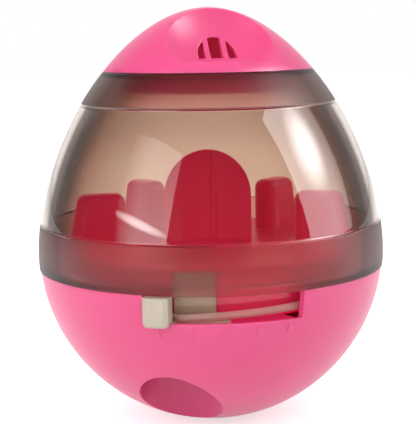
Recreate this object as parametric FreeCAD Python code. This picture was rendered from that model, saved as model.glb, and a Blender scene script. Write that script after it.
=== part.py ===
import FreeCAD, Part
import math
import os
from FreeCAD import Vector

# Egg-shaped treat ball for pets: a weighted bowl, a see-through dome and a twist-off cap.
# Millimetres, +Z up, origin on the floor under the middle of the bowl, front towards -Y.
# An azimuth is in degrees from the front (-Y) towards the right hand side (+X).

# Egg outline
egg_radius = 55.0
egg_height = 130.0
widest_height = 53.0
bottom_fullness = 0.567
lower_side_fullness = 0.52
upper_side_fullness = 0.45
crown_fullness = 0.49
foot_depth = 0.7

# Seams and walls
bowl_seam = 48.9
cap_height = 19.3
seam_gap = 0.15
seam_step = 0.4
window_step = 0.25
lower_band = 14.0
upper_band = 10.0
bowl_wall = 2.2
dome_wall = 2.3
cap_wall = 2.2

# Clearances
running_clearance = 0.3
pivot_clearance = 0.06
screw_clearance = 0.05
slide_clearance = 0.2

# Exit chute through the bowl, below the drop shaft of the tray
chute_inset = 15.0
chute_azimuth = -17.5
chute_bore = 12.6
chute_wall = 1.8

# Flow gate, its slot in the bowl's rim and its scale
gate_travel = 42.0
knob_azimuth = -17.0
knob_width = 7.6
knob_projection = 3.2
knob_overhang = 0.9
knob_headroom = 0.45
knob_rounding = 1.9
slot_depth = 8.4
slot_side_gap = 0.3
lip_thickness = 1.0
leaf_thickness = 1.4
leaf_left = -41.5
leaf_right = 6.5
tab_left = -12.9
tab_right = 1.4
tab_thickness = 1.0
rail_reach = 36.0
rail_thickness = 1.6
rail_margin = 4.0
hub_radius = 9.5
hub_height = 3.8
pivot_radius = 5.0
tick_count = 5
tick_width = 0.7
tick_length = 3.1
tick_drop = 1.2
tick_height = 0.3

# Dome spigot with its three ramped ribs, and the lugs that hold them in the bowl
spigot_inset = 3.2
spigot_wall = 1.2
spigot_shelf = 1.6
spigot_lift = 0.5
rib_count = 3
rib_middle = 12.0
rib_span = 50.0
rib_lift = 1.15
rib_height = 2.1
rib_depth = 0.7
rib_climb = 3.25
lug_start = 32.0
lug_span = 6.0
lug_height = 1.8

# Tray with its fingers
tray_lift = 7.1
tray_thickness = 2.0
skirt_wall = 1.8
flange_width = 1.3
flange_thickness = 1.1
shaft_wall = 1.4
arch_width = 27.5
arch_height = 28.8
arch_thickness = 2.6
arch_bend = 20.0
arch_front = 1.6
arch_offset = -0.7
arch_rib = 0.8
arch_rib_offset = 1.2
finger_azimuths = (-141.0, -77.0, 77.0, 141.0)
finger_margin = 1.5
finger_length = 14.6
finger_width = 9.0
finger_corner = 4.0
finger_height = 16.5
finger_flare = 3.4
finger_rounding = 3.0

# Tray screws and their bosses
boss_count = 3
tray_boss_inset = 13.0
tray_boss_azimuth = 180.0
tray_boss_spread = 71.0
tray_boss_radius = 3.6
boss_web = 1.6
tray_screw_length = 12.0

# Counterweight, its cover and screws
column_radius = 6.5
weight_margin = 0.8
chute_gap = 0.4
weight_height = 15.0
weight_chamfer = 1.0
weight_seat = 5.2
seat_rib_count = 6
cover_thickness = 1.8
cover_boss_gap = 1.7
cover_boss_radius = 3.0
cover_screw_length = 9.0

# Screws
screw_radius = 1.4
screw_head_radius = 2.9
screw_head_height = 1.8
gate_head_radius = 7.4
gate_head_height = 1.6
gate_screw_length = 12.0

# Cap with its finger dish and barred hole
collar_inset = 2.8
collar_wall = 1.8
collar_depth = 6.7
collar_web = 1.6
cap_lug_span = 16.0
cap_lug_height = 2.0
cap_lug_depth = 1.5
cap_lug_azimuth = 50.0
neck_land = 2.2
cap_turn = 40.0
notch_margin = 3.0
dish_azimuth = 11.5
dish_drop = 7.5
dish_depth = 9.6
dish_radius = 25.0
dish_sill = 3.2
dish_rounding = 4.0
dish_wall = 2.0
hole_width = 12.0
hole_height = 6.4
hole_sill = 0.4
bar_width = 1.6
bar_offset = 2.75

UP = Vector(0, 0, 1)
ORIGIN = Vector(0, 0, 0)


# Egg outline as a lower and an upper curve
def egg_curves(radius, low, high):
    widest = Vector(radius, 0, widest_height)
    lower = Part.BezierCurve()
    lower.setPoles([Vector(0, 0, low),
                    Vector(radius * bottom_fullness, 0, low),
                    Vector(radius, 0, widest_height - lower_side_fullness * (widest_height - low)),
                    widest])
    upper = Part.BezierCurve()
    upper.setPoles([widest,
                    Vector(radius, 0, widest_height + upper_side_fullness * (high - widest_height)),
                    Vector(radius * crown_fullness, 0, high),
                    Vector(0, 0, high)])
    return lower, upper


# Point of the outline at a height, and the outward direction there
def egg_point(radius, low, high, height):
    lower, upper = egg_curves(radius, low, high)
    curve = lower if height < widest_height else upper
    start = 0.0
    end = 1.0
    while end - start > 1e-9:
        middle = (start + end) / 2
        if curve.value(middle).z < height:
            start = middle
        else:
            end = middle
    along = curve.tangent(start)[0]
    return curve.value(start), Vector(along.z, 0, -along.x)


# Heights that follow from the sizes above
rim_height = bowl_seam - seam_gap
slot_floor = bowl_seam - slot_depth
knob_low = slot_floor - knob_overhang
knob_top = rim_height - knob_headroom
lower_band_top = bowl_seam + lower_band
cap_seam = egg_height - cap_height
upper_band_bottom = cap_seam - upper_band
neck_top = cap_seam - seam_gap
leaf_top = slot_floor - running_clearance / 3
leaf_low = leaf_top - leaf_thickness
chute_mouth = leaf_low - 1.5 * running_clearance
skirt_low = leaf_top + 1.5 * running_clearance
hub_low = leaf_low - running_clearance / 3
hub_top = hub_low + hub_height
pivot_top = hub_top + slide_clearance
tray_floor = bowl_seam + tray_lift
tray_under = tray_floor - tray_thickness
weight_top = weight_seat + weight_height
cover_top = weight_top + cover_thickness
rib_low = slot_floor + rib_lift

# Radii and places that follow, from the bowl's rim inwards
bowl_radius = egg_radius - seam_step
rim_radius = egg_point(bowl_radius, -foot_depth, egg_height, slot_floor)[0].x
knob_reach = rim_radius + knob_projection
spigot_radius = rim_radius - spigot_inset
spigot_bore = spigot_radius - spigot_wall
rim_bore = spigot_radius + rib_depth + 2 * running_clearance
tab_outer = spigot_bore - running_clearance
skirt_radius = tab_outer - tab_thickness - running_clearance
chute_reach = skirt_radius - chute_inset
weight_radius = egg_point(bowl_radius - bowl_wall, bowl_wall, egg_height, weight_seat)[0].x - weight_margin
cover_boss_reach = weight_radius + cover_boss_gap + cover_boss_radius
tray_boss_reach = skirt_radius - tray_boss_inset
finger_reach = skirt_radius - finger_margin - finger_flare - finger_length / 2
collar_radius = egg_point(egg_radius, 0, egg_height, cap_seam)[0].x - collar_inset
dish_floor = cap_seam + dish_sill
hole_low = dish_floor + hole_sill
hole_high = hole_low + hole_height
knob_half_angle = math.degrees(math.asin(knob_width / 2 / (bowl_radius - bowl_wall / 2)))
slot_left = knob_azimuth - knob_half_angle - slot_side_gap
slot_right = knob_azimuth + knob_half_angle + gate_travel + slot_side_gap


def spot(reach, azimuth, height=0.0):
    turn = math.radians(azimuth)
    return Vector(reach * math.sin(turn), -reach * math.cos(turn), height)


chute_place = spot(chute_reach, chute_azimuth)
tray_boss_places = [spot(tray_boss_reach, tray_boss_azimuth + side * tray_boss_spread) for side in (-1, 0, 1)]
cover_boss_places = [spot(cover_boss_reach, chute_azimuth + 60 + 120 * step) for step in range(boss_count)]


# Basic forms
def turned(shape, azimuth):
    copy = shape.copy()
    copy.rotate(ORIGIN, UP, azimuth)
    return copy


def moved(shape, place):
    copy = shape.copy()
    copy.translate(place)
    return copy


def post(radius, low, high, place=ORIGIN):
    return Part.makeCylinder(radius, high - low, Vector(place.x, place.y, low))


def ring(inner, outer, low, high):
    return post(outer, low, high).cut(post(inner, low, high))


def sector(inner, outer, low, high, start, end):
    wedge = Part.makeCylinder(outer, high - low, Vector(0, 0, low), UP, end - start)
    if inner > 0:
        wedge = wedge.cut(post(inner, low, high))
    return turned(wedge, start - 90)


def front_block(width, near, far, low, high):
    return Part.makeBox(width, far - near, high - low, Vector(-width / 2, -far, low))


def spun(points):
    outline = Part.makePolygon([Vector(r, 0, z) for r, z in points + points[:1]])
    return Part.Face(outline).revolve(ORIGIN, UP, 360)


def joined(first, others):
    return first.multiFuse(others).removeSplitter()


def egg(radius, low, high):
    lower, upper = egg_curves(radius, low, high)
    axis = Part.makeLine(Vector(0, 0, high), Vector(0, 0, low))
    outline = Part.Wire([lower.toShape(), upper.toShape(), axis])
    return Part.Face(outline).revolve(ORIGIN, UP, 360)


def slab(shape, low, high):
    return shape.common(post(egg_radius + 5, low, high))


# Self-tapping screw standing head up, with the underside of its head at the given place
def pan_screw(place, head_radius, head_height, shank_radius, length):
    tip = shank_radius * 1.2
    drive = head_radius * 0.55
    body = spun([(0, head_height), (head_radius * 0.6, head_height), (head_radius, head_height * 0.45),
                 (head_radius, 0), (shank_radius, 0), (shank_radius, tip - length), (0, -length)])
    for azimuth in (0, 90):
        blade = Part.makeBox(2 * drive, shank_radius * 0.5, head_height,
                             Vector(-drive, -shank_radius * 0.25, head_height * 0.45))
        body = body.cut(turned(blade, azimuth))
    return moved(body, place)


# Bowl
def make_bowl():
    outer = slab(egg(bowl_radius, -foot_depth, egg_height), 0, rim_height)
    inner = egg(bowl_radius - bowl_wall, bowl_wall, egg_height)
    ticks = [make_tick(knob_azimuth + gate_travel / (tick_count - 1) * step) for step in range(tick_count)]
    shell = joined(outer.cut(inner), ticks)
    shell = shell.cut(post(rim_bore, slot_floor, rim_height + 1))
    shell = shell.cut(sector(spigot_bore, egg_radius + 1, slot_floor, rim_height + 1, slot_left, slot_right))
    shell = shell.cut(sector(spigot_bore, rim_radius - lip_thickness, chute_mouth, rim_height + 1,
                             slot_left, slot_right))
    shell = joined(shell, [piece.common(outer) for piece in bowl_inside() + bowl_lugs()])
    shell = joined(shell, [post(pivot_radius, hub_low, pivot_top)] + tray_bosses(slot_floor))
    shell = shell.cut(post(chute_bore, -1, chute_mouth + 1, chute_place))
    for pilot in screw_pilots():
        shell = shell.cut(pilot)
    return shell.removeSplitter()


# What the bowl holds inside: chute, pivot column, weight seat, screw bosses and the rail under the gate
def bowl_inside():
    pieces = [post(chute_bore + chute_wall, 0, chute_mouth, chute_place), post(column_radius, 0, hub_low)]
    for step in range(seat_rib_count):
        web = front_block(boss_web, 0, weight_radius, 0, weight_seat)
        pieces.append(turned(web, chute_azimuth + 360 / seat_rib_count * (step + 0.5)))
    pieces += [post(cover_boss_radius, 0, weight_top, place) for place in cover_boss_places]
    for side in (-1, 0, 1):
        web = front_block(boss_web, tray_boss_reach, egg_radius, 0, chute_mouth - running_clearance)
        pieces.append(turned(web, tray_boss_azimuth + side * tray_boss_spread))
    rail = sector(rail_reach, egg_radius, chute_mouth - rail_thickness, chute_mouth,
                  slot_left - rail_margin, slot_right + rail_margin)
    return pieces + [rail] + tray_bosses(0)


def tray_bosses(low):
    return [post(tray_boss_radius, low, tray_under, place) for place in tray_boss_places]


def bowl_lugs():
    return [sector(spigot_radius + running_clearance, egg_radius, lug_floor(), lug_floor() + lug_height,
                   lug_start + 360 / rib_count * step, lug_start + 360 / rib_count * step + lug_span)
            for step in range(rib_count)]


def screw_pilots():
    bore = screw_radius + screw_clearance
    pilots = [post(bore, cover_top - cover_screw_length - 1, cover_top, place) for place in cover_boss_places]
    pilots += [post(bore, tray_floor - tray_screw_length - 1, tray_floor, place) for place in tray_boss_places]
    return pilots + [post(bore, pivot_top - gate_screw_length - 1, pivot_top + 1)]


def lug_floor():
    run = math.radians(lug_start + lug_span - rib_middle)
    climb = spigot_radius * math.tan(math.radians(rib_climb)) * math.sin(run)
    return rib_low + rib_height + climb + running_clearance


# A scale mark is a thin bar that stands proud of the bowl and follows its curve
def make_tick(azimuth):
    high = slot_floor - tick_drop
    proud = egg(bowl_radius + tick_height, -foot_depth, egg_height)
    bar = front_block(tick_width, rim_radius - bowl_wall / 2, egg_radius, high - tick_length, high)
    return turned(bar, azimuth).common(proud)


# Counterweight
def make_counterweight():
    inner = column_radius + slide_clearance
    body = spun([(inner + weight_chamfer, weight_seat), (weight_radius - weight_chamfer, weight_seat),
                 (weight_radius, weight_seat + weight_chamfer), (weight_radius, weight_top - weight_chamfer),
                 (weight_radius - weight_chamfer, weight_top), (inner + weight_chamfer, weight_top),
                 (inner, weight_top - weight_chamfer), (inner, weight_seat + weight_chamfer)])
    return body.cut(chute_relief())


# Keeps what stands on the weight's seat clear of the chute
def chute_relief():
    return post(chute_bore + chute_wall + chute_gap, 0, tray_under, chute_place)


def make_weight_cover():
    ears = [post(cover_boss_radius, weight_top, cover_top, place) for place in cover_boss_places]
    arms = []
    for step in range(boss_count):
        arm = front_block(2 * cover_boss_radius, 0, cover_boss_reach, weight_top, cover_top)
        arms.append(turned(arm, chute_azimuth + 60 + 120 * step))
    cover = joined(post(weight_radius, weight_top, cover_top).cut(chute_relief()), ears + arms)
    cover = cover.cut(post(column_radius + slide_clearance, weight_top, cover_top))
    for place in cover_boss_places:
        cover = cover.cut(post(screw_radius + slide_clearance, weight_top, cover_top, place))
    return cover


def make_cover_screws():
    return Part.makeCompound([pan_screw(Vector(place.x, place.y, cover_top), screw_head_radius,
                                        screw_head_height, screw_radius, cover_screw_length)
                              for place in cover_boss_places])


# Flow gate: a leaf under the tray, a tab inside the dome's spigot and a knob out through the slot
def make_flow_gate():
    hub = post(hub_radius, hub_low, hub_top)
    leaf = sector(0, tab_outer, leaf_low, leaf_top, leaf_left, leaf_right)
    tab_top = tray_floor - flange_thickness - running_clearance
    tab = sector(tab_outer - tab_thickness, tab_outer, leaf_low, tab_top, tab_left, tab_right)
    riser_near = rim_bore - slide_clearance
    riser_far = rim_radius - lip_thickness - running_clearance
    bridge = front_block(knob_width, skirt_radius, riser_far, leaf_low, leaf_top)
    riser = front_block(knob_width, riser_near, riser_far, leaf_low, knob_top)
    neck = front_block(knob_width, riser_near, knob_reach - 1, slot_floor + running_clearance, knob_top)
    head_near = rim_radius + running_clearance
    head = front_block(knob_width, head_near, knob_reach, knob_low, knob_top)
    upright = [edge for edge in head.Edges if abs(edge.BoundBox.ZLength - (knob_top - knob_low)) < 0.01
               and edge.BoundBox.YMin < -knob_reach + 0.01]
    head = head.makeFillet(knob_rounding, upright)
    lower = [edge for edge in head.Edges if edge.BoundBox.ZMax < knob_low + 0.01]
    head = head.makeFillet(knob_rounding * 0.6, [edge for edge in lower if edge.BoundBox.YMin < -head_near - 0.01])
    knob = joined(bridge, [riser, neck, head])
    gate = joined(hub, [leaf, tab, turned(knob, knob_azimuth)])
    return gate.cut(post(pivot_radius + pivot_clearance, hub_low - 1, hub_top + 1))


def make_gate_screw():
    return pan_screw(Vector(0, 0, pivot_top), gate_head_radius, gate_head_height, screw_radius,
                     gate_screw_length)


# Tray
def make_tray():
    floor = post(skirt_radius, tray_under, tray_floor)
    flange = post(skirt_radius + flange_width, tray_floor - flange_thickness, tray_floor)
    skirt = ring(skirt_radius - skirt_wall, skirt_radius, skirt_low, tray_floor)
    shaft = post(chute_bore + shaft_wall, skirt_low, tray_floor, chute_place)
    tray = joined(floor, [flange, skirt, shaft.common(post(skirt_radius, skirt_low, tray_floor))])
    fingers = [turned(make_finger(), azimuth) for azimuth in finger_azimuths]
    tray = joined(tray, fingers + [make_arch()])
    tray = tray.cut(post(chute_bore, skirt_low - 1, tray_floor + 1, chute_place))
    for place in tray_boss_places:
        tray = tray.cut(post(screw_radius + slide_clearance, tray_under - 1, tray_floor + 1, place))
    return tray


def rounded_plan(length, width, corner, near, height):
    block = Part.makeBox(width, length, 1, Vector(-width / 2, -near - length, height))
    upright = [edge for edge in block.Edges if edge.BoundBox.ZLength > 0.5]
    rounded = block.makeFillet(corner, upright)
    return [face for face in rounded.Faces if face.BoundBox.ZMax < height + 0.01][0].OuterWire


# A finger is a rounded block whose outer end leans outwards towards the tray
def make_finger():
    near = finger_reach - finger_length / 2
    foot = rounded_plan(finger_length + finger_flare, finger_width, finger_corner, near, tray_floor - 0.5)
    tip = rounded_plan(finger_length, finger_width, finger_corner, near, tray_floor + finger_height)
    body = Part.makeLoft([foot, tip], True)
    rim = [edge for edge in body.Edges if edge.BoundBox.ZMin > tray_floor + finger_height - 0.01]
    return body.makeFillet(finger_rounding, rim)


# The arch is a bent tongue with a round top and a thin rib up its middle
def make_arch():
    half = arch_width / 2
    crown = tray_floor + arch_height
    spring = crown - half
    depth = 4 * arch_thickness + 2 * arch_front
    block = Part.makeBox(arch_width, 2 * depth, spring - tray_floor + 0.5,
                         Vector(arch_offset - half, -depth, tray_floor - 0.5))
    top = Part.makeCylinder(half, 2 * depth, Vector(arch_offset, -depth, spring), Vector(0, 1, 0))
    centre = Vector(arch_offset, arch_front - arch_bend, 0)
    curve = post(arch_bend + arch_thickness, tray_floor - 0.5, crown, centre)
    curve = curve.cut(post(arch_bend, tray_floor - 0.5, crown, centre))
    tongue = block.fuse(top).common(curve)
    rib = Part.makeCylinder(arch_rib, arch_height - arch_rib, Vector(arch_rib_offset, arch_front, tray_floor))
    return tongue.fuse(rib)


def make_tray_screws():
    return Part.makeCompound([pan_screw(Vector(place.x, place.y, tray_floor), screw_head_radius,
                                        screw_head_height, screw_radius, tray_screw_length)
                              for place in tray_boss_places])


# Dome
def make_dome():
    bands = egg(egg_radius, 0, egg_height)
    window = egg(egg_radius - window_step, 0, egg_height)
    inner = egg(egg_radius - dome_wall, dome_wall, egg_height - dome_wall)
    outer = joined(slab(bands, bowl_seam, lower_band_top), [slab(window, lower_band_top, upper_band_bottom),
                                                           slab(bands, upper_band_bottom, neck_top)])
    hollow = slab(inner, bowl_seam - 1, neck_top - neck_land)
    shell = outer.cut(hollow)
    shell = shell.cut(post(neck_bore(), neck_top - neck_land - 1, neck_top + 1))
    shelf = ring(spigot_bore, egg_radius - dome_wall, bowl_seam, bowl_seam + spigot_shelf).common(outer)
    shell = joined(shell, [shelf, make_spigot()])
    lug_reach = collar_radius + cap_lug_depth + running_clearance
    for step in range(boss_count):
        start = cap_lug_azimuth + cap_turn - notch_margin / 2 + 120 * step
        notch = sector(neck_bore() - 1, lug_reach, neck_top - neck_land - 1, neck_top + 1,
                       start, start + cap_lug_span + notch_margin)
        shell = shell.cut(notch)
    return shell.removeSplitter()


def neck_bore():
    return collar_radius + running_clearance


# The ribs climb to the right, and the spigot ends along the lower edge of each rib
def make_spigot():
    low = slot_floor + spigot_lift
    wall = ring(spigot_bore, spigot_radius, low, bowl_seam + spigot_shelf)
    for step in range(rib_count):
        middle = rib_middle + 360 / rib_count * step
        start = middle - rib_span / 2
        zone = sector(spigot_bore, spigot_radius + rib_depth, low - 5, bowl_seam, start, start + rib_span)
        rib = zone.common(ramp(middle, rib_low, rib_low + rib_height))
        under = zone.common(ramp(middle, rib_low - 10, rib_low))
        wall = wall.cut(under).fuse(rib)
    return wall


def ramp(middle, low, high):
    reach = 2 * egg_radius
    layer = Part.makeBox(reach, reach, high - low, Vector(-reach / 2, -reach, low))
    layer.rotate(Vector(0, 0, low), Vector(0, -1, 0), rib_climb)
    return turned(layer, middle)


# Cap
def make_cap():
    outer = slab(egg(egg_radius, 0, egg_height), cap_seam, egg_height + 1)
    inner = slab(egg(egg_radius - cap_wall, cap_wall, egg_height - cap_wall), cap_seam - 1, egg_height)
    shell = outer.cut(inner.cut(make_dish(dish_wall)))
    collar = ring(collar_radius - collar_wall, collar_radius, cap_seam - collar_depth, cap_seam + collar_web)
    web = ring(collar_radius - collar_wall, egg_radius, cap_seam, cap_seam + collar_web).common(outer)
    lugs = []
    for step in range(boss_count):
        start = cap_lug_azimuth + 120 * step
        high = neck_top - neck_land - running_clearance
        lugs.append(sector(collar_radius - collar_wall / 2, collar_radius + cap_lug_depth, high - cap_lug_height,
                           high, start, start + cap_lug_span))
    shell = joined(shell, [collar, web] + lugs)
    shell = shell.cut(make_dish(0))
    return shell.cut(make_cap_hole()).removeSplitter()


# The finger dish is a sphere sunk along the outward direction of the egg's surface, with a level floor
def dish_centre():
    middle, outward = egg_point(egg_radius, 0, egg_height, egg_height - dish_drop)
    centre = middle + outward * (dish_radius - dish_depth)
    return spot(centre.x, dish_azimuth, centre.z)


def make_dish(skin):
    ball = moved(Part.makeSphere(dish_radius + skin), dish_centre())
    low = dish_floor - skin
    above = Part.makeBox(6 * dish_radius, 6 * dish_radius, 4 * dish_radius,
                         Vector(-3 * dish_radius, -3 * dish_radius, low))
    bowl = ball.common(above)
    rim = [edge for edge in bowl.Edges if edge.BoundBox.ZMax < low + 0.01]
    return bowl.makeFillet(dish_rounding + skin, rim)


# The hole is an arched passage through the dish's wall, with upright bars left standing in it
def make_cap_hole():
    half = hole_width / 2
    far = math.hypot(dish_centre().x, dish_centre().y)
    spring = hole_high - half
    block = front_block(hole_width, 0, far, hole_low, spring)
    top = Part.makeCylinder(half, far, Vector(0, -far, spring), Vector(0, 1, 0))
    passage = block.fuse(top.common(front_block(hole_width, 0, far, spring, hole_high)))
    for side in (-1, 1):
        bar = front_block(bar_width, 0, far, hole_low - 1, hole_high + 1)
        bar.translate(Vector(side * bar_offset, 0, 0))
        passage = passage.cut(bar)
    return turned(passage, dish_azimuth)


nodes = {
    "base_bowl": make_bowl,
    "counterweight": make_counterweight,
    "weight_cover": make_weight_cover,
    "cover_screws": make_cover_screws,
    "flow_gate": make_flow_gate,
    "gate_screw": make_gate_screw,
    "treat_tray": make_tray,
    "tray_screws": make_tray_screws,
    "dome": make_dome,
    "top_cap": make_cap,
}

os.makedirs("parts", exist_ok=True)
for name, make in nodes.items():
    shape = make()
    shape.exportStep("parts/" + name + ".step")
    print(name, "solids", len(shape.Solids), "valid", shape.isValid(), "volume", round(shape.Volume, 1))
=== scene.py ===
import math

import bmesh
import bpy
from mathutils import Matrix, Vector
from mathutils.geometry import interpolate_bezier


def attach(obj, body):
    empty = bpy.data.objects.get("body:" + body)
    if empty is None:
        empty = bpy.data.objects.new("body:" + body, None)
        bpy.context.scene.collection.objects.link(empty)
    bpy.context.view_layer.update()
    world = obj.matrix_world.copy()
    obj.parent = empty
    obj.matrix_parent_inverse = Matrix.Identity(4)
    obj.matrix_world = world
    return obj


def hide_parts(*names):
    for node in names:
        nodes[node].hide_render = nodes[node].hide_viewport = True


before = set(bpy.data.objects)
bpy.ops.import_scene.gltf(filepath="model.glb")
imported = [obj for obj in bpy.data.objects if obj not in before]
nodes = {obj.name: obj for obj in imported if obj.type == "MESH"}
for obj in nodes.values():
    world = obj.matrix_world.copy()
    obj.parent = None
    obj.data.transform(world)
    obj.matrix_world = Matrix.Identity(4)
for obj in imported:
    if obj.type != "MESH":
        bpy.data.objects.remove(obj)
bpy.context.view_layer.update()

mm = 0.001
mergeReach = 1e-6             # in metres
print("frame loaded")


# Camera, with the photograph's lens and place

cameraSetup = {
    "place": (0.0, -409.6, 124.3),
    "pitch": 8.23,
    "roll": -1.0,
    "focal": 1290.0,          # in pixels of a picture 416 wide
    "width": 416.0,
    "shift": -2.2,            # the egg's axis is a little right of the middle
    "sensor": 36.0,
    "nearest": 0.01,
    "farthest": 50.0,
}


def addCamera(setup):
    data = bpy.data.cameras.new("photoCamera")
    data.sensor_fit = "HORIZONTAL"
    data.sensor_width = setup["sensor"]
    data.lens = setup["focal"] / setup["width"] * setup["sensor"]
    data.shift_x = setup["shift"] / setup["width"]
    data.clip_start = setup["nearest"]
    data.clip_end = setup["farthest"]
    camera = bpy.data.objects.new("photoCamera", data)
    tilt = Matrix.Rotation(math.radians(90 - setup["pitch"]), 4, "X")
    roll = Matrix.Rotation(math.radians(setup["roll"]), 4, "Z")
    camera.matrix_world = Matrix.Translation(Vector(setup["place"]) * mm) @ tilt @ roll
    bpy.context.scene.collection.objects.link(camera)
    bpy.context.scene.camera = camera


addCamera(cameraSetup)
print("camera set")


# Shader maths: a socket that takes + - * / and a surface that makes its own nodes

class Signal:
    def __init__(self, surface, socket):
        self.surface = surface
        self.socket = socket

    def __add__(self, other):
        return self.surface.maths("ADD", self, other)

    def __radd__(self, other):
        return self.surface.maths("ADD", other, self)

    def __sub__(self, other):
        return self.surface.maths("SUBTRACT", self, other)

    def __rsub__(self, other):
        return self.surface.maths("SUBTRACT", other, self)

    def __mul__(self, other):
        return self.surface.maths("MULTIPLY", self, other)

    def __rmul__(self, other):
        return self.surface.maths("MULTIPLY", other, self)

    def __truediv__(self, other):
        return self.surface.maths("DIVIDE", self, other)

    def below(self, limit):
        return self.surface.maths("LESS_THAN", self, limit)

    def above(self, limit):
        return self.surface.maths("GREATER_THAN", self, limit)

    def root(self):
        return self.surface.maths("SQRT", self)

    def between(self, low, high, outLow=0.0, outHigh=1.0):
        return self.surface.node("ShaderNodeMapRange", {"clamp": True},
                                 {"Value": self, "From Min": low, "From Max": high,
                                  "To Min": outLow, "To Max": outHigh})


class Surface:
    def __init__(self, owner):           # a new material, or the world
        owner.use_nodes = True
        self.owner = owner
        self.tree = owner.node_tree
        self.tree.nodes.clear()

    def node(self, kind, settings=None, values=None, output=0):
        made = self.tree.nodes.new(kind)
        for key, setting in (settings or {}).items():
            if key == "stops":
                self.fillRamp(made.color_ramp, setting)
            else:
                setattr(made, key, setting)
        pairs = values.items() if isinstance(values, dict) else enumerate(values or [])
        for key, value in pairs:
            if isinstance(value, Signal):
                self.tree.links.new(value.socket, made.inputs[key])
            else:
                made.inputs[key].default_value = value
        return Signal(self, made.outputs[output])

    def fillRamp(self, ramp, stops):
        for spare in list(ramp.elements)[1:]:
            ramp.elements.remove(spare)
        ramp.elements[0].position = stops[0][0]
        ramp.elements[0].color = (*stops[0][1], 1.0)
        for place, colour in stops[1:]:
            ramp.elements.new(place).color = (*colour, 1.0)

    def maths(self, operation, *values):
        return self.node("ShaderNodeMath", {"operation": operation}, values)

    def place(self):
        return self.node("ShaderNodeTexCoord", output="Object")

    def axes(self, vector):
        split = self.node("ShaderNodeSeparateXYZ", {}, [vector])
        return [Signal(self, socket) for socket in split.socket.node.outputs]

    def ray(self, kind):
        return self.node("ShaderNodeLightPath", output=kind)

    def noise(self, scale, detail):
        return self.node("ShaderNodeTexNoise", {},
                         {"Vector": self.place(), "Scale": scale, "Detail": detail})

    def blend(self, factor, first, second):
        mix = self.tree.nodes.new("ShaderNodeMix")
        mix.data_type = "RGBA"
        sockets = [socket for socket in mix.inputs if socket.type == "RGBA"]
        self.tree.links.new(factor.socket, mix.inputs[0])
        for socket, colour in zip(sockets, (first, second)):
            socket.default_value = (*colour, 1.0)
        return Signal(self, [socket for socket in mix.outputs if socket.type == "RGBA"][0])

    def bump(self, height, strength, distance):
        return self.node("ShaderNodeBump", {},
                         {"Height": height, "Strength": strength, "Distance": distance})

    def finish(self, shader, output="ShaderNodeOutputMaterial"):
        out = self.tree.nodes.new(output)
        self.tree.links.new(shader.socket, out.inputs["Surface"])
        return self.owner


# Pink plastic of the bowl, the cap and the weight's cover, and a brighter, redder copy of the same
# plastic for the tray, whose extra brightness is painted light for the tray behind the dome

pinkFinish = {
    "colour": (0.77, 0.080, 0.240),
    "deeper": (0.73, 0.071, 0.222),
    "flowScale": 26.0,
    "flowDetail": 2.0,
    "flowLow": 0.35,
    "flowHigh": 0.65,
    "roughness": 0.34,
    "roughnessSpread": 0.07,
    "refraction": 1.5,
    "grainScale": 1500.0,
    "grainDetail": 4.0,
    "grainStrength": 0.25,
    "grainHeight": 0.00002,
    "glow": 0.3,              # share of light that travels through the wall, and how far
    "glowReach": (0.004, 0.0009, 0.0014),
    "paintedGrooveGlow": (0.42, 0.012, 0.055),        # painted glow in the slot's groove, standing in for light that the thin lip would let in
    "paintedGlowBottom": 0.0375,
    "paintedGlowTop": 0.0408,
    "paintedGlowRadius": 0.0515,
}

# the tray's copy of the pink is brightened: painted light for the tray lit behind the smoky dome
trayBrightenedFinish = {**pinkFinish, "colour": (0.95, 0.03, 0.18), "deeper": (0.91, 0.026, 0.165)}


def makePink(name, finish):
    surface = Surface(bpy.data.materials.new(name))
    x, y, z = surface.axes(surface.place())
    # the slot's groove, where the plastic is given a painted glow of its own
    paintedGlowMask = ((x * x + y * y).below(finish["paintedGlowRadius"] ** 2)
                * z.above(finish["paintedGlowBottom"]) * z.below(finish["paintedGlowTop"]))
    flow = surface.noise(finish["flowScale"], finish["flowDetail"])
    grain = surface.noise(finish["grainScale"], finish["grainDetail"])
    shader = surface.node("ShaderNodeBsdfPrincipled", {}, {
        "Base Color": surface.blend(flow.between(finish["flowLow"], finish["flowHigh"]),
                                    finish["colour"], finish["deeper"]),
        "Roughness": finish["roughness"] + (flow - 0.5) * finish["roughnessSpread"],
        "IOR": finish["refraction"],
        "Subsurface Weight": finish["glow"],
        "Subsurface Radius": finish["glowReach"],
        "Subsurface Scale": 1.0,
        # painted glow: the groove gives off light though it is no lamp
        "Emission Color": surface.blend(paintedGlowMask, (0.0, 0.0, 0.0), finish["paintedGrooveGlow"]),
        "Emission Strength": 1.0,
        "Normal": surface.bump(grain, finish["grainStrength"], finish["grainHeight"]),
    })
    return surface.finish(shader)


# Ivory plastic of the flow gate

ivoryFinish = {
    "colour": (0.46, 0.395, 0.32),
    "paler": (0.51, 0.445, 0.36),
    "flowScale": 60.0,
    "flowDetail": 2.0,
    "roughness": 0.38,
    "roughnessSpread": 0.1,
    "refraction": 1.5,
    "grainScale": 1800.0,
    "grainDetail": 3.0,
    "grainStrength": 0.2,
    "grainHeight": 0.00002,
}


def makeIvory(name, finish):
    surface = Surface(bpy.data.materials.new(name))
    flow = surface.noise(finish["flowScale"], finish["flowDetail"])
    grain = surface.noise(finish["grainScale"], finish["grainDetail"])
    shader = surface.node("ShaderNodeBsdfPrincipled", {}, {
        "Base Color": surface.blend(flow, finish["colour"], finish["paler"]),
        "Roughness": finish["roughness"] + (flow - 0.5) * finish["roughnessSpread"],
        "IOR": finish["refraction"],
        "Normal": surface.bump(grain, finish["grainStrength"], finish["grainHeight"]),
    })
    return surface.finish(shader)


# Smoky plastic of the dome. A tint's number is how far the face turns away from the eye, and its
# colour is what one wall then lets through, together with painted shade towards the outline where
# the real wall turns the light aside

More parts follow.
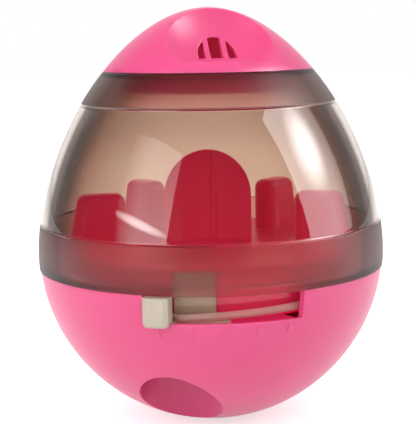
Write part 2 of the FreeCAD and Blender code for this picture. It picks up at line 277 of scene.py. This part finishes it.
clearFinish = {
    # painted shade: from 0.42 to 0.70 a near-black strip inside the window's outline, then a
    # painted light rim at the very edge
    "tintsWithPaintedEdgeShading": [(0.0, (0.70, 0.56, 0.47)), (0.14, (0.68, 0.54, 0.45)), (0.42, (0.42, 0.30, 0.25)),
              (0.58, (0.07, 0.045, 0.04)), (0.70, (0.02, 0.015, 0.015)),
              (0.78, (0.42, 0.36, 0.33)), (1.0, (0.55, 0.50, 0.48))],
    "lampTint": (0.95, 0.90, 0.86),      # what the lamps' light keeps past one face of the wall
    "grainScale": 35.0,
    "grainDetail": 3.0,
    "roughness": 0.02,
    "roughnessSpread": 0.01,
    "refraction": 1.49,
    "specular": 0.5,
    "clearness": 1.0,
    "rippleStrength": 0.04,
    "rippleHeight": 0.0002,
}

frostFinish = {
    # painted shade: the lower band darkens towards its ends
    "tintsWithPaintedEdgeShading": [(0.0, (0.54, 0.17, 0.17)), (0.24, (0.50, 0.14, 0.15)), (0.38, (0.34, 0.10, 0.10)),
              (0.55, (0.05, 0.02, 0.018)), (1.0, (0.06, 0.04, 0.035))],
    "lampTint": (0.90, 0.80, 0.74),
    "grainScale": 35.0,
    "grainDetail": 3.0,
    "roughness": 0.42,
    "roughnessSpread": 0.06,
    "refraction": 1.38,
    "specular": 0.15,
    "clearness": 1.0,
}

upperFrostFinish = {
    **frostFinish,
    # painted shade: the upper band darkens towards its ends
    "tintsWithPaintedEdgeShading": [(0.0, (0.66, 0.38, 0.34)), (0.2, (0.62, 0.34, 0.30)), (0.35, (0.29, 0.13, 0.11)),
              (0.55, (0.05, 0.025, 0.02)), (1.0, (0.10, 0.08, 0.07))],
    "roughness": 0.38,
    "specular": 0.2,
}

spigotFinish = {
    **frostFinish,
    # painted shade: the spigot darkens towards its outline
    "tintsWithPaintedEdgeShading": [(0.0, (0.86, 0.76, 0.70)), (1.0, (0.60, 0.50, 0.45))],
    "lampTint": (0.98, 0.95, 0.93),
    "roughness": 0.05,
    "roughnessSpread": 0.02,
    "refraction": 1.3,
    "specular": 0.3,
}

ribFinish = {
    **frostFinish,
    # painted sheen: the rib pales where it turns away from the eye
    "tintsWithPaintedEdgeShading": [(0.0, (0.60, 0.34, 0.31)), (1.0, (0.66, 0.44, 0.41))],
    "lampTint": (0.90, 0.80, 0.76),
    "roughness": 0.4,
    "refraction": 1.4,
    "specular": 0.4,
    "clearness": 0.45,
}


def makeSmoke(name, finish):
    surface = Surface(bpy.data.materials.new(name))
    grain = surface.noise(finish["grainScale"], finish["grainDetail"])
    facing = surface.node("ShaderNodeLayerWeight", {}, {"Blend": 0.5}, "Facing")
    values = {
        # the tint by facing carries the painted edge shade, rim light and sheen
        "Base Color": surface.node("ShaderNodeValToRGB", {"stops": finish["tintsWithPaintedEdgeShading"]},
                                   {"Fac": facing}),
        "Roughness": finish["roughness"] + (grain - 0.5) * finish["roughnessSpread"],
        "IOR": finish["refraction"],
        "Specular IOR Level": finish["specular"],
        "Transmission Weight": finish["clearness"],
    }
    if "rippleHeight" in finish:
        values["Normal"] = surface.bump(grain, finish["rippleStrength"], finish["rippleHeight"])
    plastic = surface.node("ShaderNodeBsdfPrincipled", {}, values)
    lamplit = surface.node("ShaderNodeBsdfTransparent", {}, {"Color": (*finish["lampTint"], 1.0)})
    shadow = surface.ray("Is Shadow Ray")
    return surface.finish(surface.node("ShaderNodeMixShader", {}, [shadow, plastic, lamplit]))


# Plated steel of the screws and cast iron of the weight

steelFinish = {
    "colour": (0.50, 0.50, 0.52),
    "paler": (0.66, 0.66, 0.67),
    "flowScale": 300.0,
    "flowDetail": 3.0,
    "flowLow": 0.3,
    "flowHigh": 0.7,
    "smoothest": 0.22,
    "roughest": 0.38,
}

ironFinish = {
    "colour": (0.05, 0.05, 0.055),
    "paler": (0.14, 0.13, 0.13),
    "metal": 0.85,
    "pitScale": 420.0,
    "pitDetail": 6.0,
    "pitLow": 0.3,
    "pitHigh": 0.7,
    "pitStrength": 0.5,
    "pitHeight": 0.0003,
    "smoothest": 0.5,
    "roughest": 0.75,
}


def makeSteel(name, finish):
    surface = Surface(bpy.data.materials.new(name))
    flow = surface.noise(finish["flowScale"], finish["flowDetail"])
    shader = surface.node("ShaderNodeBsdfPrincipled", {}, {
        "Base Color": surface.blend(flow, finish["colour"], finish["paler"]),
        "Metallic": 1.0,
        "Roughness": flow.between(finish["flowLow"], finish["flowHigh"],
                                  finish["smoothest"], finish["roughest"]),
    })
    return surface.finish(shader)


def makeIron(name, finish):
    surface = Surface(bpy.data.materials.new(name))
    pits = surface.noise(finish["pitScale"], finish["pitDetail"])
    shader = surface.node("ShaderNodeBsdfPrincipled", {}, {
        "Base Color": surface.blend(pits, finish["colour"], finish["paler"]),
        "Metallic": finish["metal"],
        "Roughness": pits.between(finish["pitLow"], finish["pitHigh"],
                                  finish["smoothest"], finish["roughest"]),
        "Normal": surface.bump(pits, finish["pitStrength"], finish["pitHeight"]),
    })
    return surface.finish(shader)


pinkShell = makePink("pinkPlastic", pinkFinish)
pinkTrayBrightened = makePink("pinkTrayBrightenedPlastic", trayBrightenedFinish)
ivory = makeIvory("ivoryPlastic", ivoryFinish)
clearSmoke = makeSmoke("smokyClear", clearFinish)
frostedSmoke = makeSmoke("smokyFrosted", frostFinish)
upperSmoke = makeSmoke("smokyFrostedAbove", upperFrostFinish)
spigotSmoke = makeSmoke("smokySpigot", spigotFinish)
ribSmoke = makeSmoke("smokyRib", ribFinish)
steel = makeSteel("platedSteel", steelFinish)
iron = makeIron("castIron", ironFinish)
print("finishes made")


# Dome, in mm: a spun wall with the frosted bands proud of the clear window, and a spigot below

egg = {
    "radius": 55.0,
    "height": 130.0,
    "widest": 53.0,
    "bottomFullness": 0.567,
    "lowerSide": 0.52,
    "upperSide": 0.45,
    "crown": 0.49,
    "steps": 90,
}

dome = {
    "seam": 48.9,
    "bandTop": 62.9,
    "windowTop": 100.7,
    "top": 110.55,
    "wall": 2.3,
    "windowStep": 0.25,
    "stepSlope": 0.05,
    "neckBore": 30.4,
    "neckLand": 2.2,
    "shelf": 1.6,
    "spigotBore": 48.6,
    "spigotRadius": 49.8,
    "spigotLow": 41.0,
    "turns": 192,
    "ribCount": 3,
    "ribMiddle": 12.0,        # degrees to the right of the front
    "ribSpan": 50.0,
    "ribLow": 41.65,
    "ribHeight": 2.1,
    "ribDepth": 0.7,
    "ribSlope": 0.25,
    "ribClimb": 3.25,
    "slack": 0.01,            # how far a height may be off when a vertex or face is picked by it
    "proud": 0.05,            # a spigot face further out than this is on a rib
    "outward": 0.3,           # the least outward lean of an outer face
}


def eggLine(radius, low, high):
    mid = egg["widest"]
    lower = interpolate_bezier((0, low, 0), (radius * egg["bottomFullness"], low, 0),
                               (radius, mid - egg["lowerSide"] * (mid - low), 0),
                               (radius, mid, 0), egg["steps"])
    upper = interpolate_bezier((radius, mid, 0),
                               (radius, mid + egg["upperSide"] * (high - mid), 0),
                               (radius * egg["crown"], high, 0), (0, high, 0), egg["steps"])
    return [(point.x, point.y) for point in list(lower) + list(upper)[1:]]


def stretch(line, low, high):            # the part of an egg line from one height up to another
    kept = []
    for (r0, z0), (r1, z1) in zip(line, line[1:]):
        for level in (low, high):
            if z0 < level < z1:
                kept.append((r0 + (r1 - r0) * (level - z0) / (z1 - z0), level))
        if low <= z1 <= high:
            kept.append((r1, z1))
    return sorted(kept, key=lambda point: point[1])


def newObject(name, bm, materials):
    mesh = bpy.data.meshes.new(name)
    bm.to_mesh(mesh)
    bm.free()
    made = bpy.data.objects.new(name, mesh)
    bpy.context.scene.collection.objects.link(made)
    for material in materials:
        mesh.materials.append(material)
    return made


def spinProfile(bm, points, turns):      # points are (radius, height), closed
    corners = [bm.verts.new((r * mm, 0, z * mm)) for r, z in points]
    edges = [bm.edges.new(pair) for pair in zip(corners, corners[1:] + corners[:1])]
    bmesh.ops.spin(bm, geom=corners + edges, cent=(0, 0, 0), axis=(0, 0, 1), angle=math.tau,
                   steps=turns, use_merge=True, use_duplicate=False)
    bmesh.ops.remove_doubles(bm, verts=bm.verts, dist=mergeReach)


def domeProfile(size):
    outer = eggLine(egg["radius"], 0, egg["height"])
    window = eggLine(egg["radius"] - size["windowStep"], 0, egg["height"])
    inner = eggLine(egg["radius"] - size["wall"], size["wall"], egg["height"] - size["wall"])
    shelfTop = size["seam"] + size["shelf"]
    landLow = size["top"] - size["neckLand"]
    ribRadius = size["spigotRadius"] + size["ribDepth"]
    ribTop = size["spigotLow"] + size["ribHeight"]
    line = stretch(outer, size["seam"], size["bandTop"])
    line += stretch(window, size["bandTop"] + size["stepSlope"],
                    size["windowTop"] - size["stepSlope"])
    line += stretch(outer, size["windowTop"], size["top"])
    line += [(size["neckBore"], size["top"]), (size["neckBore"], landLow)]
    line += stretch(inner, shelfTop, landLow)[::-1]
    line += [(size["spigotBore"], shelfTop), (size["spigotBore"], size["spigotLow"]),
             (ribRadius, size["spigotLow"]), (ribRadius, ribTop - size["ribSlope"]),
             (size["spigotRadius"], ribTop), (size["spigotRadius"], size["seam"])]
    return line


# The rib runs all round the spun spigot: it is pushed in between the three ribs and tilted on them

def shapeRibs(bm, size):
    ribTop = size["spigotLow"] + size["ribHeight"]
    ribStep = 360 / size["ribCount"]
    rise = size["spigotRadius"] * math.tan(math.radians(size["ribClimb"]))
    for vert in bm.verts:
        if vert.co.z > (ribTop + size["slack"]) * mm:
            continue
        azimuth = math.degrees(math.atan2(vert.co.x, -vert.co.y))
        along = (azimuth - size["ribMiddle"] + ribStep / 2) % ribStep - ribStep / 2
        if abs(along) > size["ribSpan"] / 2:
            reach = math.hypot(vert.co.x, vert.co.y)
            vert.co.xy *= min(1.0, size["spigotRadius"] * mm / reach)
        else:
            climb = rise * math.sin(math.radians(along))
            vert.co.z += (size["ribLow"] - size["spigotLow"] + climb) * mm


def markWalls(bm, size):                 # 0 window, 1 lower band, 2 spigot, 3 rib, 4 upper band
    for face in bm.faces:
        face.smooth = True
        centre = face.calc_center_median() / mm
        reach = math.hypot(centre.x, centre.y)
        lean = face.normal.x * centre.x + face.normal.y * centre.y
        outwards = lean > size["outward"] * reach
        if centre.z < size["seam"] - size["slack"]:
            onRib = outwards and reach > size["spigotRadius"] + size["proud"]
            face.material_index = 3 if onRib else 2
        elif outwards and size["seam"] < centre.z < size["bandTop"]:
            face.material_index = 1
        elif outwards and size["windowTop"] < centre.z < size["top"]:
            face.material_index = 4


def makeDome(size):
    bm = bmesh.new()
    spinProfile(bm, domeProfile(size), size["turns"])
    shapeRibs(bm, size)
    bmesh.ops.remove_doubles(bm, verts=bm.verts, dist=mergeReach)
    bmesh.ops.recalc_face_normals(bm, faces=bm.faces)
    markWalls(bm, size)
    return newObject("domeShell", bm,
                     [clearSmoke, frostedSmoke, spigotSmoke, ribSmoke, upperSmoke])


domeShell = makeDome(dome)
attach(domeShell, "dome")
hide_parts("dome")
print("dome made")


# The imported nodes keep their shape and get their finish, and the moulded ones soft edges

nodeFinish = {                           # each node's material, and its soft edge's width in mm
    "base_bowl": (pinkShell, 0.35),
    "top_cap": (pinkShell, 0.3),
    "treat_tray": (pinkTrayBrightened, 0.4),
    "weight_cover": (pinkShell, 0.0),
    "flow_gate": (ivory, 0.25),
    "counterweight": (iron, 0.0),
    "cover_screws": (steel, 0.0),
    "gate_screw": (steel, 0.0),
    "tray_screws": (steel, 0.0),
}

softEdge = {
    "weld": 0.01,
    "segments": 2,
    "sharper": 40.0,          # edges that turn by more degrees than this are softened
}


def dressNode(node, material):
    node.data.materials.clear()
    node.data.materials.append(material)
    for face in node.data.polygons:
        face.material_index = 0


def softenNode(node, width, setup):
    weld = node.modifiers.new("weld", "WELD")
    weld.merge_threshold = setup["weld"] * mm
    edge = node.modifiers.new("softEdge", "BEVEL")
    edge.width = width * mm
    edge.segments = setup["segments"]
    edge.limit_method = "ANGLE"
    edge.angle_limit = math.radians(setup["sharper"])
    edge.harden_normals = True


for name, (material, width) in nodeFinish.items():
    dressNode(nodes[name], material)
    if width:
        softenNode(nodes[name], width, softEdge)
print("nodes dressed")


# Studio, in metres: white surroundings, a floor, lamps, and panels that only show as reflections

studio = {
    "surround": 0.42,
    "roomStart": 0.35,        # mirrored surroundings are white behind the ball and dark before it
    "roomEnd": 0.97,
    "roomDark": 0.06,
    "backStart": 0.25,        # what is seen through the dome is white behind it and dark beside it
    "backEnd": 0.8,
    "backDark": 0.05,
    "aim": 0.08,              # the height that lamps and panels look at
}

floorSetup = {
    "half": 6.0,
    "drop": 0.0002,
    "grey": 0.86,
    "greySpread": 0.02,
    "grainScale": 40.0,
    "grainDetail": 2.0,
    "roughness": 0.8,
    "glow": 0.62,
}

lamps = [
    {"name": "keyRight", "azimuth": 50.0, "elevation": 40.0, "distance": 1.1,
     "width": 0.8, "height": 0.8, "watts": 5.0},
    {"name": "keyLeft", "azimuth": -50.0, "elevation": 35.0, "distance": 1.1,
     "width": 0.8, "height": 0.8, "watts": 5.0},
    {"name": "top", "azimuth": 0.0, "elevation": 85.0, "distance": 1.0,
     "width": 0.9, "height": 0.9, "watts": 3.5},
    {"name": "lowFill", "azimuth": -42.0, "elevation": 3.0, "distance": 1.0,
     "width": 0.8, "height": 0.2, "watts": 1.3},
    {"name": "backFill", "azimuth": 180.0, "elevation": 32.0, "distance": 1.1,
     "width": 1.0, "height": 0.6, "watts": 2.0},
]

rightPanel = {
    "azimuth": 86.0,
    "elevation": 26.0,
    "distance": 0.9,
    "width": 0.70,
    "height": 0.86,
    "base": 5.5,
    "sideFade": (0.05, 0.35),            # along the panel from its middle
    "sideLeft": 0.25,                    # share of the base that is left past the fade
    "core": 16.0,
    "corePlace": (-0.02, 0.06),
    "coreSize": (0.24, 0.27),
}

leftPanel = {
    "azimuth": -46.0,
    "elevation": 23.0,
    "distance": 0.9,
    "width": 0.62,
    "height": 0.64,
    "base": 4.6,
    "sideFade": (-0.05, -0.31),
    "sideLeft": 0.0,
    "riseFade": (-0.2, 0.32),
    "riseLeft": 0.5,
    "streak": 14.0,
    "streakPlace": (-0.01, -0.18),
    "streakSize": (0.34, 0.036),
    "streakTilt": 0.15,
}


def standAt(made, setup):                # puts a lamp or panel at its place, turned to the ball
    turn, lift = math.radians(setup["azimuth"]), math.radians(setup["elevation"])
    away = Vector((math.sin(turn) * math.cos(lift), -math.cos(turn) * math.cos(lift),
                   math.sin(lift)))
    made.rotation_euler = away.to_track_quat("Z", "Y").to_euler()
    made.location = Vector((0, 0, studio["aim"])) + away * setup["distance"]


def addLamp(setup):
    data = bpy.data.lights.new(setup["name"], "AREA")
    data.shape = "RECTANGLE"
    data.size = setup["width"]
    data.size_y = setup["height"]
    data.energy = setup["watts"]
    lamp = bpy.data.objects.new(setup["name"], data)
    standAt(lamp, setup)
    lamp.visible_glossy = False
    lamp.visible_transmission = False
    lamp.visible_camera = False
    bpy.context.scene.collection.objects.link(lamp)


def spotGlow(across, up, size):          # 1 in the middle of an oval, 0 at its edge and outside
    return (1 - (across * across / size[0] ** 2 + up * up / size[1] ** 2)).between(0.0, 1.0)


def rightGlow(across, up, setup):
    base = across.between(*setup["sideFade"], 1.0, setup["sideLeft"]) * setup["base"]
    core = spotGlow(across - setup["corePlace"][0], up - setup["corePlace"][1],
                    setup["coreSize"])
    return base + core * core * setup["core"]


def leftGlow(across, up, setup):
    base = (across.between(*setup["sideFade"], 1.0, setup["sideLeft"])
            * up.between(*setup["riseFade"], 1.0, setup["riseLeft"]))
    streak = spotGlow(across - setup["streakPlace"][0],
                      up - setup["streakPlace"][1] + across * setup["streakTilt"],
                      setup["streakSize"])
    return base * setup["base"] + streak * setup["streak"]


def addPanel(name, setup, glow):
    bm = bmesh.new()
    bmesh.ops.create_grid(bm, x_segments=1, y_segments=1, size=0.5)
    bmesh.ops.scale(bm, verts=bm.verts, vec=(setup["width"], setup["height"], 1))
    surface = Surface(bpy.data.materials.new(name))
    across, up, _ = surface.axes(surface.place())
    light = surface.node("ShaderNodeEmission", {},
                         {"Color": glow(across, up, setup), "Strength": 1.0})
    panel = newObject(name, bm, [surface.finish(light)])
    standAt(panel, setup)
    panel.visible_camera = False
    panel.visible_diffuse = False
    panel.visible_transmission = False
    panel.visible_shadow = False


def addWorld(setup):
    world = bpy.data.worlds.new("studio")
    bpy.context.scene.world = world
    sky = Surface(world)
    camera, mirrored = sky.ray("Is Camera Ray"), sky.ray("Is Glossy Ray")
    through = sky.ray("Is Transmission Ray")
    ahead = sky.axes(sky.node("ShaderNodeTexCoord", output="Generated"))[1]
    room = ahead.between(setup["roomStart"], setup["roomEnd"], setup["roomDark"], 1.0)
    back = ahead.between(setup["backStart"], setup["backEnd"], setup["backDark"], 1.0)
    rest = (1 - camera) * (1 - mirrored) * (1 - through) * setup["surround"]
    shader = sky.node("ShaderNodeBackground", {}, {
        "Color": (1, 1, 1, 1),
        "Strength": camera + mirrored * room + through * back + rest,
    })
    sky.finish(shader, "ShaderNodeOutputWorld")


def addFloor(setup, room):
    bm = bmesh.new()
    bmesh.ops.create_grid(bm, x_segments=1, y_segments=1, size=setup["half"])
    bmesh.ops.translate(bm, verts=bm.verts, vec=(0, 0, -setup["drop"]))
    surface = Surface(bpy.data.materials.new("studioFloor"))
    grain = surface.noise(setup["grainScale"], setup["grainDetail"])
    camera, mirrored = surface.ray("Is Camera Ray"), surface.ray("Is Glossy Ray")
    through = surface.ray("Is Transmission Ray")
    x, y, _ = surface.axes(surface.place())
    ahead = y / (x * x + y * y).root()
    back = ahead.between(room["backStart"], room["backEnd"], room["backDark"], 1.0)
    matt = surface.node("ShaderNodeBsdfPrincipled", {}, {
        "Base Color": surface.blend(grain, (setup["grey"],) * 3,
                                    (setup["grey"] + setup["greySpread"],) * 3),
        "Roughness": setup["roughness"],
        "Specular IOR Level": 0.0,
    })
    glow = surface.node("ShaderNodeEmission", {},
                        {"Color": (1, 1, 1, 1), "Strength": setup["glow"]})
    both = surface.node("ShaderNodeAddShader", {}, [matt, glow])
    seen = camera + mirrored + through * back
    shader = surface.node("ShaderNodeMixShader", {}, [seen, matt, both])
    floor = newObject("floor", bm, [surface.finish(shader)])


for lamp in lamps:
    addLamp(lamp)
addPanel("rightPanel", rightPanel, rightGlow)
addPanel("leftPanel", leftPanel, leftGlow)
addWorld(studio)
addFloor(floorSetup, studio)
bpy.context.scene.view_settings.view_transform = "Standard"
print("studio set")
